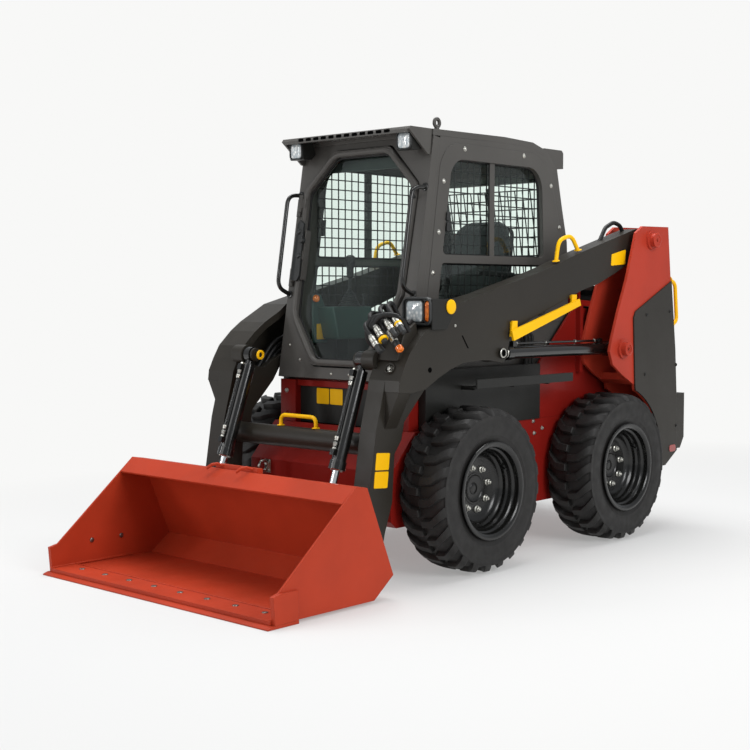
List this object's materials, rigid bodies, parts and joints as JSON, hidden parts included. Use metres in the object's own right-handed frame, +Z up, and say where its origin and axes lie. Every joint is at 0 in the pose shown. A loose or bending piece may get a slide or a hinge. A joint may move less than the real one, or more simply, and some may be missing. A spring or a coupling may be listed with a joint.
{
  "type": "skid steer loader",
  "caption": "Compact wheeled loader with gooseneck lift arms beside a glazed cab and a wide earth bucket on a tilting coupler.",
  "frame": {"origin": "on the ground under the middle of the machine's length and width", "axes": "-Y to the front, +X to the machine's left, +Z up"},
  "size_m": [1.524, 3.251, 2.125],
  "materials": {
    "tyre_rubber": "ribbed black rubber",
    "rim_black": "gloss black paint",
    "chassis_red": "gloss red paint",
    "bucket_red": "satin red paint",
    "charcoal_paint": "satin charcoal paint",
    "cab_paint": "satin dark paint",
    "black_panel": "satin black paint",
    "yellow_paint": "gloss yellow paint",
    "engine_iron": "cast iron",
    "cab_glazing": "clear green tint",
    "lamp_lens": "lens and housing",
    "seat_cloth": "black seat cover",
    "console_plastic": "grey plastic",
    "steel_zinc": "zinc plated",
    "barrel_black": "satin black paint",
    "rod_chrome": "chrome plate"
  },
  "bodies": {
    "chassis": {"axle_hubs": "chassis_red", "chain_cases": "chassis_red", "belly_pan": "chassis_red", "front_frame": "chassis_red", "tie_rings": "chassis_red", "front_panel": "black_panel", "side_tanks": "black_panel", "tower_left": "chassis_red", "tower_right": "chassis_red", "side_panels": "black_panel", "rear_bumper": "black_panel", "engine_block": "engine_iron", "rear_frame": "chassis_red", "cab_front_frame": "cab_paint", "cab_roof": "cab_paint", "cab_rear_frame": "cab_paint", "cab_side_left": "cab_paint", "cab_side_right": "cab_paint", "cab_glass": "cab_glazing", "side_guards": "black_panel", "cab_floor": "cab_paint", "seat": "seat_cloth", "consoles": "console_plastic", "cab_visor": "cab_paint", "work_lamps": "lamp_lens", "cab_handles": "black_panel", "roof_box": "cab_paint", "lifting_eye": "steel_zinc", "rear_handles": "yellow_paint"},
    "door": {"door_frame": "cab_paint", "door_glass": "cab_glazing"},
    "hood": {"hood": "black_panel"},
    "tailgate": {"tailgate": "black_panel"},
    "arms": {"arm_left": "charcoal_paint", "arm_right": "charcoal_paint", "cross_tube": "charcoal_paint", "arm_handles": "yellow_paint", "arm_support": "yellow_paint", "road_lamp": "lamp_lens", "aux_couplers": "charcoal_paint", "hoses": "tyre_rubber"},
    "bucket": {"bucket_shell": "bucket_red", "cutting_edge": "bucket_red", "coupler_frame": "bucket_red"},
    "lift_barrel_left": {"lift_barrel_left": "barrel_black"},
    "lift_barrel_right": {"lift_barrel_right": "barrel_black"},
    "lift_rod_left": {"lift_rod_left": "rod_chrome"},
    "lift_rod_right": {"lift_rod_right": "rod_chrome"},
    "tilt_barrel_left": {"tilt_barrel_left": "barrel_black"},
    "tilt_barrel_right": {"tilt_barrel_right": "barrel_black"},
    "tilt_rod_left": {"tilt_rod_left": "rod_chrome"},
    "tilt_rod_right": {"tilt_rod_right": "rod_chrome"},
    "wheel_front_left": {"tyre_front_left": "tyre_rubber", "rim_front_left": "rim_black"},
    "wheel_front_right": {"tyre_front_right": "tyre_rubber", "rim_front_right": "rim_black"},
    "wheel_rear_left": {"tyre_rear_left": "tyre_rubber", "rim_rear_left": "rim_black"},
    "wheel_rear_right": {"tyre_rear_right": "tyre_rubber", "rim_rear_right": "rim_black"}
  },
  "joints": [
    {"name": "wheel_front_left_spin", "type": "hinge", "parent": "chassis", "child": "wheel_front_left", "pos_m": [0.616, -0.1965, 0.3865], "axis": [1, 0, 0], "continuous": true},
    {"name": "wheel_front_right_spin", "type": "hinge", "parent": "chassis", "child": "wheel_front_right", "pos_m": [-0.616, -0.1965, 0.3865], "axis": [1, 0, 0], "continuous": true},
    {"name": "wheel_rear_left_spin", "type": "hinge", "parent": "chassis", "child": "wheel_rear_left", "pos_m": [0.616, 0.9535, 0.3865], "axis": [1, 0, 0], "continuous": true},
    {"name": "wheel_rear_right_spin", "type": "hinge", "parent": "chassis", "child": "wheel_rear_right", "pos_m": [-0.616, 0.9535, 0.3865], "axis": [1, 0, 0], "continuous": true},
    {"name": "arm_lift", "type": "hinge", "parent": "chassis", "child": "arms", "pos_m": [0, 1.2515, 1.58], "axis": [-1, 0, 0], "range_deg": [0, 64]},
    {"name": "bucket_tilt", "type": "hinge", "parent": "arms", "child": "bucket", "pos_m": [0, -0.8065, 0.195], "axis": [-1, 0, 0], "range_deg": [-106, 26]},
    {"name": "lift_barrel_left_swing", "type": "hinge", "parent": "chassis", "child": "lift_barrel_left", "pos_m": [0.595, 0.9805, 1.004], "axis": [-1, 0, 0], "range_deg": [-2, 64]},
    {"name": "lift_rod_left_slide", "type": "slide", "parent": "lift_barrel_left", "child": "lift_rod_left", "axis": [0, -1, 0.0072], "range_m": [-0.01, 0.7]},
    {"name": "tilt_barrel_left_swing", "type": "hinge", "parent": "arms", "child": "tilt_barrel_left", "pos_m": [0.376, -0.6765, 0.998], "axis": [-1, 0, 0], "range_deg": [-4, 4]},
    {"name": "tilt_rod_left_slide", "type": "slide", "parent": "tilt_barrel_left", "child": "tilt_rod_left", "axis": [0, -0.342, -0.9397], "range_m": [-0.1, 0.37]},
    {"name": "lift_barrel_right_swing", "type": "hinge", "parent": "chassis", "child": "lift_barrel_right", "pos_m": [-0.595, 0.9805, 1.004], "axis": [-1, 0, 0], "range_deg": [-2, 64]},
    {"name": "lift_rod_right_slide", "type": "slide", "parent": "lift_barrel_right", "child": "lift_rod_right", "axis": [0, -1, 0.0072], "range_m": [-0.01, 0.7]},
    {"name": "tilt_barrel_right_swing", "type": "hinge", "parent": "arms", "child": "tilt_barrel_right", "pos_m": [-0.376, -0.6765, 0.998], "axis": [-1, 0, 0], "range_deg": [-4, 4]},
    {"name": "tilt_rod_right_slide", "type": "slide", "parent": "tilt_barrel_right", "child": "tilt_rod_right", "axis": [0, -0.342, -0.9397], "range_m": [-0.1, 0.37]},
    {"name": "door_swing", "type": "hinge", "parent": "chassis", "child": "door", "pos_m": [-0.402, -0.35603, 1.50212], "axis": [0, -0.1628, -0.9867], "range_deg": [0, 60]},
    {"name": "hood_lift", "type": "hinge", "parent": "chassis", "child": "hood", "pos_m": [0, 0.8855, 1.354], "axis": [1, 0, 0], "range_deg": [0, 55]},
    {"name": "tailgate_swing", "type": "hinge", "parent": "chassis", "child": "tailgate", "pos_m": [-0.486, 1.5535, 1], "axis": [0, 0, 1], "range_deg": [0, 100]}
  ],
  "couplings": [
    {"joint": "lift_barrel_left_swing", "follows": "arm_lift", "ratio": 0.95379},
    {"joint": "lift_rod_left_slide", "follows": "arm_lift", "m_per_rad": 0.60116},
    {"joint": "tilt_barrel_left_swing", "follows": "bucket_tilt", "ratio": -0.02},
    {"joint": "tilt_rod_left_slide", "follows": "bucket_tilt", "m_per_rad": -0.19178},
    {"joint": "lift_barrel_right_swing", "follows": "arm_lift", "ratio": 0.95379},
    {"joint": "lift_rod_right_slide", "follows": "arm_lift", "m_per_rad": 0.60116},
    {"joint": "tilt_barrel_right_swing", "follows": "bucket_tilt", "ratio": -0.02},
    {"joint": "tilt_rod_right_slide", "follows": "bucket_tilt", "m_per_rad": -0.19178}
  ]
}
